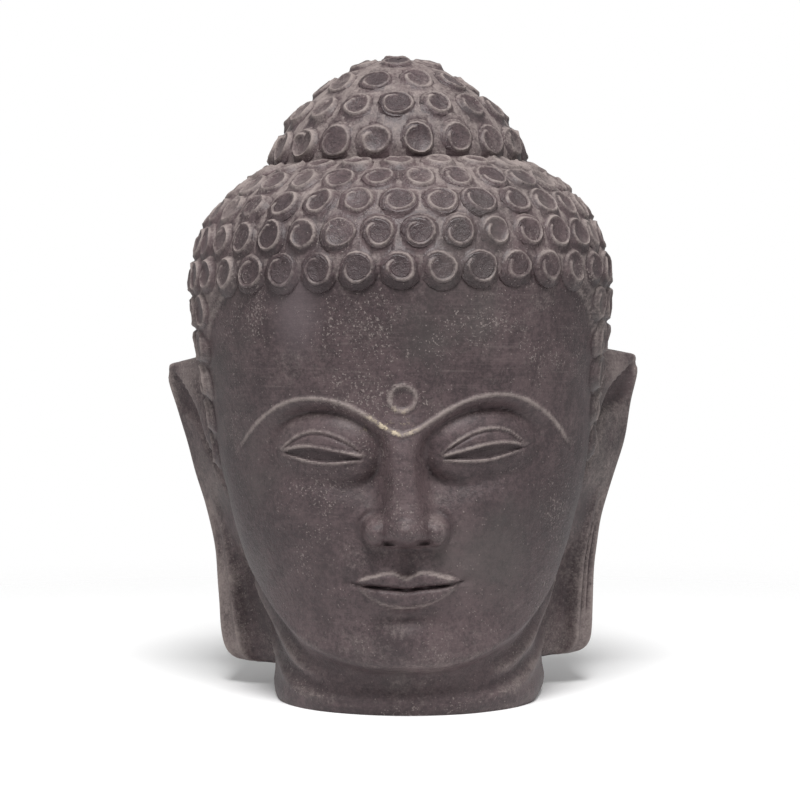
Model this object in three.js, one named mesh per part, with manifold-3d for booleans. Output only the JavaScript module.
// A carved-style buddha head, cast in one piece in dark cement and cut flat below the neck.
// Units are millimetres, +Z is up and the face looks along -Y. The origin is the middle of the
// underside. The form is laid out in fingers, the carver's unit of the old proportion books:
// the face, from hairline to chin, is 12 fingers in three equal parts, and the tip of the crown
// bump is 21.5 fingers above the underside.
import * as THREE from 'three';
import { mergeVertices } from 'three/addons/utils/BufferGeometryUtils.js';
import Module from 'manifold-3d';

// Driving dimensions
const totalHeight = 420;
const headLean = 1.2; // degrees that the crown leans to the head's own right
const curlPitch = 27; // from one curl to the next in a row
const rowPitch = 24.5; // from one row of curls to the next
const pitchSlack = 0.1; // share by which a row's curls may be wider or narrower than the pitch
const curlRise = 6; // how far a curl stands off the scalp
const hairShell = 9; // how deep the hair reaches into the head, so that the two are one piece
const scalpInset = 3; // how far the hidden scalp lies below the valleys between the curls
const earThickness = 14;
const browRidge = 1.6;
const urnaRadius = 8; // the ring between the brows

const finger = totalHeight / 21.5;

// Heights of the face, in fingers above the underside, by the rule of thirds
const chinLine = 1.5;
const faceThird = 4;
const noseBase = chinLine + faceThird;
const browLine = noseBase + faceThird;
const hairLine = browLine + faceThird;
const mouthLine = noseBase - faceThird / 3;
const eyeLine = browLine - faceThird / 4;

// The head without its features, as flat oval sections: height, half width, reach to the front,
// reach to the back, all in fingers. It runs from below the cut neck to the tip of the crown bump.
const sections = [
  [-0.6, 4.62, 4.5, 4.5],
  [0.1, 4.6, 4.45, 4.48],
  [1.02, 4.45, 4.2, 4.4],
  [2.3, 4.61, 4.3, 4.61],
  [3.58, 4.97, 4.75, 4.91],
  [5.12, 5.48, 5.36, 5.53],
  [6.65, 5.89, 5.86, 6.25],
  [8.19, 6.19, 6.18, 6.86],
  [9.73, 6.37, 6.4, 7.27],
  [11.26, 6.56, 6.52, 7.52],
  [12.8, 6.7, 6.52, 7.58],
  [14.0, 6.74, 6.42, 7.42],
  [15.25, 6.42, 6.0, 7.0],
  [16.1, 5.95, 5.3, 6.35],
  [16.75, 5.36, 4.52, 5.6],
  [17.2, 4.7, 3.92, 4.85],
  [17.55, 4.12, 3.62, 4.25],
  [17.95, 4.08, 3.74, 4.22],
  [18.55, 3.83, 3.62, 3.98],
  [19.25, 3.36, 3.22, 3.46],
  [19.8, 2.8, 2.7, 2.85],
  [20.35, 2.14, 2.06, 2.16],
  [20.8, 1.45, 1.4, 1.45],
  [21.05, 0.72, 0.7, 0.72],
  [21.12, 0, 0, 0],
];
const creaseSection = 16; // the groove round the foot of the crown bump

// Where the hair begins: degrees from the front, and height in fingers. Along the forehead it is
// level, then it drops in front of the ears, and behind them it reaches the nape.
const hairEdge = [
  [0, hairLine - 0.05],
  [50, hairLine - 0.05],
  [58, 12.9],
  [64, 11.0],
  [66, 7.1],
  [96, 7.1],
  [112, 3.6],
  [180, 3.4],
];
const napeLine = 3.4;

// The arched line of the brow: distance from the middle and height, in fingers
const browArch = [
  [0, browLine - 0.5],
  [0.5, browLine - 0.38],
  [1.3, browLine + 0.12],
  [2.3, browLine + 0.55],
  [3.3, browLine + 0.6],
  [4.3, browLine + 0.2],
  [5.0, browLine - 0.5],
  [5.4, browLine - 1.2],
];

// How far the face stands forward of the neck, by height in fingers
const faceForward = [
  [0, 1.4],
  [2.3, 1.4],
  [3.2, 1.05],
  [4.2, 0.8],
  [5.5, 0.45],
  [7.0, 0.18],
  [8.4, 0],
  [30, 0],
];

// The nose from its root down: height, how far it stands forward, half width of its bridge
const noseProfile = [
  [noseBase - 0.12, 0, 0.5],
  [noseBase + 0.1, 0.7, 0.52],
  [noseBase + 0.3, 1.15, 0.55],
  [noseBase + 0.6, 1.25, 0.52],
  [noseBase + 1.0, 1.12, 0.46],
  [noseBase + 1.8, 0.88, 0.4],
  [noseBase + 2.8, 0.58, 0.38],
  [noseBase + 3.5, 0.34, 0.42],
  [noseBase + 4.0, 0.08, 0.5],
];

// One ear as stations from its top to its lobe, in fingers: height, the outer edge (to the side
// and to the back), the root inside the head (to the side and to the back), thickness as a share
const earStations = [
  [11.42, 7.72, 2.9, 5.5, -0.2, 0.35],
  [11.1, 7.84, 3.1, 5.5, -0.4, 0.85],
  [10.4, 7.76, 3.25, 5.45, -0.5, 1],
  [9.4, 7.55, 3.3, 5.4, -0.5, 1],
  [8.4, 7.28, 3.2, 5.35, -0.45, 1],
  [7.3, 6.98, 3.0, 5.2, -0.35, 1],
  [6.3, 6.68, 2.8, 5.0, -0.2, 1],
  [5.3, 6.47, 2.6, 4.75, -0.1, 1],
  [4.3, 6.33, 2.4, 4.45, 0, 1.05],
  [3.2, 6.26, 2.25, 4.15, 0.1, 1.1],
  [2.2, 6.22, 2.15, 3.95, 0.15, 1.08],
  [1.6, 6.12, 2.1, 3.95, 0.2, 0.85],
  [1.28, 5.9, 1.95, 4.0, 0.3, 0.4],
];
const earTopSlope = 0.5; // fingers that the top edge falls from the head to its outer corner

const wasm = await Module();
wasm.setup();

function smoothStep(low, high, value) {
  const t = THREE.MathUtils.clamp((value - low) / (high - low), 0, 1);
  return t * t * (3 - 2 * t);
}

function bell(distance, width) {
  return Math.exp(-((distance / width) ** 2));
}

// The columns of a table at a value of its first column, with straight lines between the rows
function lookUp(table, value) {
  const last = table.length - 1;
  const rising = table[last][0] > table[0][0];
  let row = 0;
  while (row < last - 1 && (rising ? value > table[row + 1][0] : value < table[row + 1][0])) row += 1;
  const [low, high] = [table[row], table[row + 1]];
  const t = THREE.MathUtils.clamp((value - low[0]) / (high[0] - low[0]), 0, 1);
  return low.map((entry, i) => THREE.MathUtils.lerp(entry, high[i], t));
}

// A row between the rows of a table, at a fractional index, on a smooth (Catmull-Rom) curve
function smoothRow(table, index) {
  const last = table.length - 1;
  const i = Math.min(Math.max(Math.floor(index), 0), last - 1);
  const t = index - i;
  const rows = [i - 1, i, i + 1, i + 2].map((k) => table[Math.min(Math.max(k, 0), last)]);
  return table[0].map((_, c) => {
    const [p0, p1, p2, p3] = rows.map((row) => row[c]);
    const slope1 = (p2 - p0) / 2;
    const slope2 = (p3 - p1) / 2;
    return (2 * t ** 3 - 3 * t ** 2 + 1) * p1 + (t ** 3 - 2 * t ** 2 + t) * slope1
      + (3 * t ** 2 - 2 * t ** 3) * p2 + (t ** 3 - t ** 2) * slope2;
  });
}

// The fractional index at which the sections reach a height, in fingers
function indexAtHeight(z) {
  let low = 0;
  let high = sections.length - 1;
  for (let step = 0; step < 40; step += 1) {
    const middle = (low + high) / 2;
    if (smoothRow(sections, middle)[0] < z) low = middle;
    else high = middle;
  }
  return (low + high) / 2;
}

// A point of the plain head, in fingers: angle 0 is the front and grows towards the left ear
function plainPoint(index, angle) {
  const [z, half, front, back] = smoothRow(sections, index);
  const reach = Math.cos(angle) > 0 ? front : back;
  return new THREE.Vector3(half * Math.sin(angle), -reach * Math.cos(angle), z);
}

function plainNormal(index, angle) {
  const step = 0.02;
  const along = plainPoint(index, angle + step).sub(plainPoint(index, angle - step));
  const up = plainPoint(index + step, angle).sub(plainPoint(index - step, angle));
  return along.cross(up).normalize();
}

// How far the features stand forward of the plain head, in fingers, by the place seen from the front
function features(x, z) {
  const side = Math.abs(x);
  let out = 0;

  // The face, down to its jaw, stands forward of the neck
  const oval = Math.hypot(side / 5.5, Math.min(z - 7.5, 0) / 6);
  out += lookUp(faceForward, z)[1] * smoothStep(1.08, 0.84, oval);

  // Two folds of the neck follow the jaw
  out -= 0.1 * bell(oval - 1.12, 0.04) * smoothStep(4.2, 2.6, z);

  // Brow: a thin raised bow, with the eye hollow under it
  const brow = lookUp(browArch, side)[1];
  const slope = (lookUp(browArch, side + 0.1)[1] - lookUp(browArch, side - 0.1)[1]) / 0.2;
  const below = (brow - z) / Math.hypot(1, slope);
  const browReach = smoothStep(5.6, 4.8, side);
  out += (browRidge / finger) * bell(below, 0.16) * browReach;
  const hollow = smoothStep(0, 0.5, below) * smoothStep(2.6, 1.3, below);
  out -= 0.32 * hollow * smoothStep(0.25, 0.9, side) * smoothStep(5.0, 3.6, side);

  // Eye: the ball under heavy lids, and the line between them
  const ball = 1 - ((side - 2.45) / 1.5) ** 2 - ((z - eyeLine) / 0.95) ** 2;
  out += 0.42 * Math.sqrt(Math.max(ball, 0));
  const lidLine = eyeLine - 0.18 - 0.12 * Math.cos((side - 2.45) * 2.2);
  out -= 0.14 * bell(z - lidLine, 0.16) * smoothStep(1.5, 1.0, Math.abs(side - 2.45));

  // Nose: a flat bridge with steep sides, and two wings
  const [, stand, half] = lookUp(noseProfile, z);
  out += stand / (1 + (side / (half + 0.16 * stand)) ** 4);
  out += 0.75 * bell(side - 0.95, 0.42) * bell(z - noseBase - 0.42, 0.45);

  // Cheeks and the round of the mouth
  out += 0.22 * bell(side - 3.3, 1.6) * bell(z - 6.4, 1.5);
  out += 0.3 * bell(side, 2.3) * bell(z - mouthLine, 1.2);

  // Lips: two rolls and the line between them
  const mouthReach = smoothStep(1.95, 1.3, side);
  const lipLine = mouthLine + 0.1 * (side / 1.8) ** 2;
  out += 0.26 * bell(z - lipLine - 0.3, 0.26) * mouthReach;
  out += 0.34 * bell(z - lipLine + 0.34, 0.3) * smoothStep(1.75, 1.0, side);
  out -= 0.1 * bell(z - lipLine, 0.12) * mouthReach;

  // Chin, with the hollow above it
  out += 0.3 * bell(side, 1.25) * bell(z - chinLine - 1.0, 0.8);
  out -= 0.12 * bell(side, 1.3) * bell(z - chinLine - 1.75, 0.3);

  // The ring between the brows
  const ring = Math.hypot(x, z - browLine - 0.65) * finger - urnaRadius;
  out += 0.08 * bell(ring, 2.4);
  return out;
}

// How high a place of the head lies inside the hair, in fingers; below 0 it is bare skin
function hairDepth(index, angle) {
  const degrees = Math.abs(THREE.MathUtils.radToDeg(Math.atan2(Math.sin(angle), Math.cos(angle))));
  return smoothRow(sections, index)[0] - lookUp(hairEdge, degrees)[1];
}

// Closed solid from its points and triangles
function solid(points, triangles) {
  const geometry = new THREE.BufferGeometry();
  geometry.setAttribute('position', new THREE.Float32BufferAttribute(points.flatMap((p) => [p.x, p.y, p.z]), 3));
  geometry.setIndex(triangles.flat());
  return manifoldOf(geometry);
}

function manifoldOf(geometry) {
  const bare = geometry.clone();
  bare.deleteAttribute('normal');
  bare.deleteAttribute('uv');
  const merged = mergeVertices(bare, 1e-4);
  return new wasm.Manifold(new wasm.Mesh({
    numProp: 3,
    vertProperties: merged.attributes.position.array,
    triVerts: new Uint32Array(merged.index.array),
  }));
}

// A skin over a stack of loops that all have as many points, closed at both ends by a fan to the
// middle of the end loop. Loops run anticlockwise seen from the last loop towards the first.
function skin(loops) {
  const size = loops[0].length;
  const points = loops.flat();
  const triangles = [];
  for (let row = 0; row < loops.length - 1; row += 1) {
    for (let i = 0; i < size; i += 1) {
      const a = row * size + i;
      const b = row * size + ((i + 1) % size);
      triangles.push([a, b, b + size], [a, b + size, a + size]);
    }
  }
  const endMiddle = (loop) => loop.reduce((sum, p) => sum.add(p), new THREE.Vector3()).divideScalar(size);
  const first = points.push(endMiddle(loops[0])) - 1;
  const last = points.push(endMiddle(loops[loops.length - 1])) - 1;
  const top = (loops.length - 1) * size;
  for (let i = 0; i < size; i += 1) {
    const next = (i + 1) % size;
    triangles.push([first, next, i], [last, top + i, top + next]);
  }
  return solid(points, triangles);
}

// The head itself: face, neck and the scalp that the hair hides
function makeHead() {
  const frontAngle = THREE.MathUtils.degToRad(74);
  const frontColumns = 36;
  const backColumns = 16;
  const crowding = 0.35; // how much closer together the columns are in the middle of the face
  const angles = [];
  for (let i = 0; i < frontColumns; i += 1) {
    const across = -1 + (2 * i) / frontColumns;
    angles.push(frontAngle * across * (1 - crowding + crowding * Math.abs(across)));
  }
  for (let i = 0; i < backColumns; i += 1) {
    angles.push(frontAngle + ((2 * Math.PI - 2 * frontAngle) * i) / backColumns);
  }

  const faceTop = indexAtHeight(hairLine + 0.5);
  const faceRows = 40;
  const scalpRows = 9;
  const heights = [];
  for (let i = 0; i <= faceRows; i += 1) {
    heights.push(indexAtHeight(THREE.MathUtils.lerp(sections[0][0], hairLine + 0.5, i / faceRows)));
  }
  const topIndex = sections.length - 1.6;
  for (let i = 1; i <= scalpRows; i += 1) {
    heights.push(THREE.MathUtils.lerp(faceTop, topIndex, i / scalpRows));
  }

  const loops = heights.map((index) => angles.map((angle) => {
    const point = plainPoint(index, angle);
    const inset = (scalpInset / finger) * smoothStep(0.2, 1.1, hairDepth(index, angle));
    point.addScaledVector(plainNormal(index, angle), -inset);
    if (Math.cos(angle) > 0) {
      const facing = smoothStep(0, 0.35, Math.cos(angle));
      point.y -= features(point.x, point.z) * facing;
    }
    return point.multiplyScalar(finger);
  }));
  return skin(loops);
}

// The places of the rows of curls, as fractional indices into the sections. Each zone, from nape
// to hairline, from hairline to the crease and from there to the tip, holds a whole number of rows.
function hairRows() {
  const samples = 2000;
  const last = sections.length - 1;
  const lengths = [0];
  for (let i = 1; i <= samples; i += 1) {
    const [za, ha, fa] = smoothRow(sections, (last * (i - 1)) / samples);
    const [zb, hb, fb] = smoothRow(sections, (last * i) / samples);
    lengths.push(lengths[i - 1] + finger * Math.hypot(zb - za, (hb + fb - ha - fa) / 2));
  }
  const lengthAt = (index) => lengths[Math.round((index / last) * samples)];
  const indexAt = (length) => {
    const above = lengths.findIndex((entry) => entry >= length);
    const below = Math.max(above - 1, 0);
    const t = (length - lengths[below]) / (lengths[above] - lengths[below] || 1);
    return ((below + t) / samples) * last;
  };

  const tipCurl = 0.45 * curlPitch;
  const marks = [
    lengthAt(indexAtHeight(napeLine)),
    lengthAt(indexAtHeight(hairLine)),
    lengthAt(creaseSection),
    lengths[samples] - tipCurl,
  ];
  const rows = [];
  for (let zone = 0; zone < 3; zone += 1) {
    const span = marks[zone + 1] - marks[zone];
    const count = Math.max(1, Math.round(span / rowPitch));
    for (let i = 0; i < count; i += 1) {
      const low = indexAt(marks[zone] + (span * i) / count);
      const middle = indexAt(marks[zone] + (span * (i + 0.5)) / count);
      const high = indexAt(marks[zone] + (span * (i + 1)) / count);
      const [, half, front, back] = smoothRow(sections, middle);
      const girth = Math.PI * finger * (half + (front + back) / 2);
      const asBelow = rows[rows.length - 1]?.curls ?? 1;
      const fits = Math.abs(girth / asBelow / curlPitch - 1) < pitchSlack;
      rows.push({ low, middle, high, curls: fits ? asBelow : Math.max(5, Math.round(girth / curlPitch)) });
    }
  }
  const firstAbove = rows.findIndex((row) => row.middle > indexAtHeight(hairLine));
  rows.forEach((row, i) => {
    row.shift = (i - firstAbove) % 2 === 0 ? 0 : 0.5;
  });
  return rows;
}

// The valley points on the border between two rows of curls, sorted by angle. Each curl of either
// row ends at one of them. The border zigzags, as between round things packed close together.
function rowBorder(below, above) {
  const zigzag = 0.17;
  const points = [];
  for (const [row, other] of [[below, above], [above, below]]) {
    if (!row) continue;
    const level = row === below ? row.high : row.low;
    const lean = other ? zigzag * (row.middle - other.middle) : 0;
    for (let i = 0; i < row.curls; i += 1) {
      const turn = ((i + row.shift + 0.5) / row.curls) % 1;
      points.push({ turn, index: level + lean });
    }
  }
  points.sort((p, q) => p.turn - q.turn);
  const merged = [];
  const nearest = 0.12 / (below ?? above).curls;
  for (const point of points) {
    const previous = merged[merged.length - 1];
    if (previous && point.turn - previous.turn < nearest) {
      previous.index = (previous.index + point.index) / 2;
      previous.turns.push(point.turn);
    } else {
      merged.push({ ...point, turns: [point.turn] });
    }
  }
  return merged;
}

// The points of a border from one turn to another, going round to the left ear's side
function borderStretch(border, from, to) {
  const startsAt = (turn) => border.findIndex((p) => p.turns.some((t) => Math.abs(t - turn) < 1e-9));
  const first = startsAt(from);
  const last = startsAt(to);
  const count = (last - first + border.length) % border.length;
  return Array.from({ length: count + 1 }, (_, i) => (first + i) % border.length);
}

// The hair: a shell over the scalp, one raised round for each curl
function makeHair() {
  const rows = hairRows();
  const borders = rows.map((row, i) => rowBorder(rows[i - 1], row));
  borders.push(rowBorder(rows[rows.length - 1], null));

  const cells = [];
  rows.forEach((row, r) => {
    for (let i = 0; i < row.curls; i += 1) {
      const turn = ((i + row.shift) / row.curls) % 1;
      if (hairDepth(row.middle, turn * 2 * Math.PI) <= 0) continue;
      const from = ((i + row.shift - 0.5 + row.curls) / row.curls) % 1;
      const to = ((i + row.shift + 0.5) / row.curls) % 1;
      const lower = borderStretch(borders[r], from, to).map((k) => [r, k]);
      const upper = borderStretch(borders[r + 1], from, to).map((k) => [r + 1, k]);
      cells.push({ corners: [...lower, ...upper.reverse()], middle: [row.middle, turn] });
    }
  });
  const tip = borders[rows.length].map((_, k) => [rows.length, k]);
  cells.push({ corners: tip, middle: [sections.length - 1.001, 0] });

  const points = [];
  const triangles = [];
  const placed = new Map();
  const onHead = ([index, turn], lift) => {
    const angle = turn * 2 * Math.PI;
    const point = plainPoint(index, angle).multiplyScalar(finger);
    return points.push(point.addScaledVector(plainNormal(index, angle), lift)) - 1;
  };

  // An edge that only one cell uses is the rim of the hair
  const edges = new Map();
  for (const cell of cells) {
    cell.corners.forEach((corner, i) => {
      const next = cell.corners[(i + 1) % cell.corners.length];
      const key = [String(corner), String(next)].sort().join('|');
      edges.set(key, [...(edges.get(key) ?? []), [corner, next]]);
    });
  }
  const rim = [...edges.values()].filter((uses) => uses.length === 1).map((uses) => uses[0]);
  const onRim = new Set(rim.flat().map(String));
  const rimSink = 0.25 * curlRise;
  const corner = (key, inner) => {
    const name = `${key}${inner ? ' inner' : ''}`;
    if (!placed.has(name)) {
      const { turn, index } = borders[key[0]][key[1]];
      const valley = onRim.has(String(key)) ? -rimSink : 0;
      placed.set(name, onHead([index, turn], inner ? -hairShell : valley));
    }
    return placed.get(name);
  };

  const curlTop = 0.7; // size of a curl's top against its foot
  const shoulder = 0.72; // height of the top's edge against its middle
  for (const { corners, middle } of cells) {
    const foot = corners.map((key) => corner(key, false));
    const inside = corners.map((key) => corner(key, true));
    const centre = middle[0] > sections.length - 2
      ? points.push(new THREE.Vector3(0, 0, totalHeight - curlRise)) - 1
      : onHead(middle, 0);
    const up = foot.reduce((sum, k, i) => {
      const a = points[k].clone().sub(points[centre]);
      const b = points[foot[(i + 1) % foot.length]].clone().sub(points[centre]);
      return sum.add(a.cross(b));
    }, new THREE.Vector3()).normalize();
    const top = foot.map((k) => {
      const point = points[centre].clone().lerp(points[k], curlTop).addScaledVector(up, shoulder * curlRise);
      return points.push(point) - 1;
    });
    const deep = points.push(points[centre].clone().addScaledVector(up, -hairShell)) - 1;
    points[centre].addScaledVector(up, curlRise);
    foot.forEach((k, i) => {
      const next = (i + 1) % foot.length;
      triangles.push([k, foot[next], top[next]], [k, top[next], top[i]]);
      triangles.push([top[i], top[next], centre]);
      triangles.push([inside[next], inside[i], deep]);
    });
  }
  for (const [from, to] of rim) {
    const [a, b] = [corner(from, false), corner(to, false)];
    const [c, d] = [corner(from, true), corner(to, true)];
    triangles.push([b, a, c], [b, c, d]);
  }
  return solid(points, triangles);
}

// The relief on the outer face of the ear, in fingers: a rolled rim, a groove inside it, a second
// ridge, the bowl by the cheek, and the long slot of the stretched lobe
function earRelief(across, z) {
  const upper = smoothStep(5.2, 6.2, z);
  const lobe = 1 - upper;
  const rim = 0.2 * bell(across - 0.9, 0.09);
  const groove = -0.22 * bell(across - 0.74, 0.09);
  const ridge = 0.08 * bell(across - 0.6, 0.08);
  const bowl = -0.34 * bell(across - 0.42, 0.13) * bell(z - 8, 1.3);
  const slot = -0.26 * bell(across - 0.62, 0.15) * smoothStep(1.9, 2.5, z);
  return rim + upper * (groove + ridge + bowl) + lobe * slot;
}

// One ear, from the head outwards; side is 1 for the head's left ear, on +X, and -1 for its right
function makeEar(side) {
  const stations = 17;
  const acrossFront = [0, 0.24, 0.42, 0.54, 0.64, 0.75, 0.84, 0.93];
  const acrossBack = [[0.93, 0], [0.65, 0.35], [0, 0.35]]; // where, and how much thicker, in fingers
  const loops = [];
  for (let i = 0; i < stations; i += 1) {
    const row = smoothRow(earStations, ((earStations.length - 1) * i) / (stations - 1));
    const [z, edgeX, edgeY, rootX, rootY, share] = row;
    const root = new THREE.Vector2(rootX, rootY);
    const edge = new THREE.Vector2(edgeX, edgeY);
    const outward = edge.clone().sub(root).normalize();
    const face = new THREE.Vector2(outward.y, -outward.x);
    const half = (share * earThickness) / finger / 2;
    const slope = earTopSlope * smoothStep(8.5, 11.2, z);
    const place = (across, lift) => {
      const flat = root.clone().lerp(edge, across).addScaledVector(face, lift);
      return new THREE.Vector3(side * flat.x, flat.y, z - slope * (across - 0.5)).multiplyScalar(finger);
    };
    const front = acrossFront.map((across) => place(across, half + share * earRelief(across, z)));
    const back = acrossBack.map(([across, thicker]) => place(across, -half - share * thicker));
    loops.push([...front, place(1, 0), ...back]);
  }
  if (side > 0) loops.reverse();
  return skin(loops);
}

const head = makeHead();
const hair = makeHair();
const ears = [1, -1].map(makeEar);
const joined = ears.reduce((whole, ear) => whole.add(ear), head.add(hair));

// Lean the head, then cut the neck flat where it stands
const cutter = new THREE.BoxGeometry(totalHeight, totalHeight, finger * 4);
cutter.translate(0, 0, -finger * 2);
const slivers = 0.12; // what is flatter than this, where the pieces grew together, is evened out
const cast = joined.rotate([0, -headLean, 0]).subtract(manifoldOf(cutter)).simplify(slivers).getMesh();

const geometry = new THREE.BufferGeometry();
geometry.setAttribute('position', new THREE.Float32BufferAttribute(cast.vertProperties, 3));
geometry.setIndex(new THREE.Uint32BufferAttribute(cast.triVerts, 1));
geometry.computeBoundingBox();
const { min, max } = geometry.boundingBox;
geometry.translate(-(min.x + max.x) / 2, -(min.y + max.y) / 2, 0);
geometry.computeVertexNormals();

const cement = new THREE.MeshStandardMaterial({ color: 0x5f5655, roughness: 0.82, metalness: 0 });
const statue = new THREE.Group();
const buddhaHead = new THREE.Mesh(geometry, cement);
buddhaHead.name = 'buddha_head';
statue.add(buddhaHead);

export default statue;
